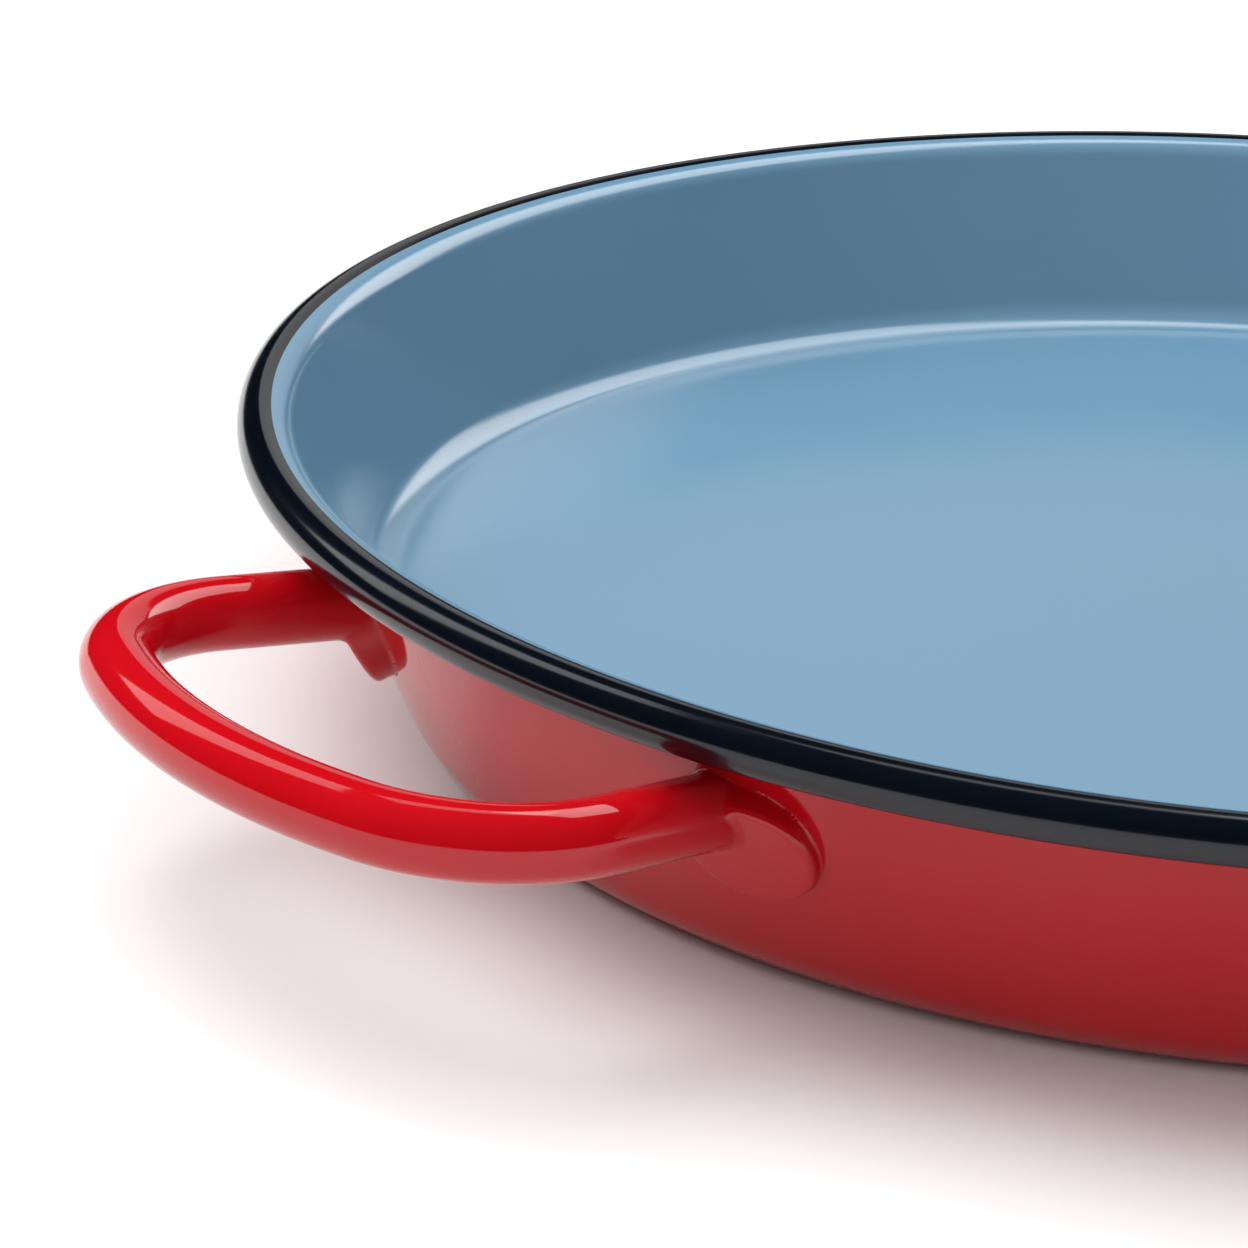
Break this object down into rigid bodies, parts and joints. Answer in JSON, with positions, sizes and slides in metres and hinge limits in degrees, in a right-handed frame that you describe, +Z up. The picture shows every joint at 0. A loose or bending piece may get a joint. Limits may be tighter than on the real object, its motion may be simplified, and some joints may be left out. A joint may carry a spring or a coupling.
{
  "type": "enamelled steel pan",
  "caption": "Shallow round pan of enamelled pressed steel with sloping wall, rolled rim bead and opposed rod loop handles on flattened welded feet.",
  "frame": {"origin": "centre of the underside, on the surface the pan stands on", "axes": "+X from the pan's centre through the right handle, +Z up, +Y completes a right-handed frame"},
  "size_m": [0.3742, 0.3012, 0.0445],
  "materials": {
    "steel_shell": "low-carbon enamelling steel, pressed, about 1 mm",
    "blue_enamel": "glossy vitreous enamel, fired",
    "red_enamel": "glossy vitreous enamel, fired",
    "red_base_enamel": "glossy vitreous enamel, fired, lightly worn where it stands",
    "navy_enamel": "glossy near-black blue vitreous enamel",
    "steel_rod": "round mild steel rod, ends pressed flat",
    "red_handle_enamel": "glossy vitreous enamel, fired",
    "weld_steel": "resistance spot weld nuggets"
  },
  "bodies": {
    "root": {"pan_shell": "steel_shell", "raised_floor": "steel_shell", "inner_enamel": "blue_enamel", "wall_enamel": "red_enamel", "base_enamel": "red_base_enamel", "rim_enamel": "navy_enamel", "left_handle_rod": "steel_rod", "left_handle_enamel": "red_handle_enamel", "left_handle_spot_welds": "weld_steel", "right_handle_rod": "steel_rod", "right_handle_enamel": "red_handle_enamel", "right_handle_spot_welds": "weld_steel"}
  },
  "joints": []
}
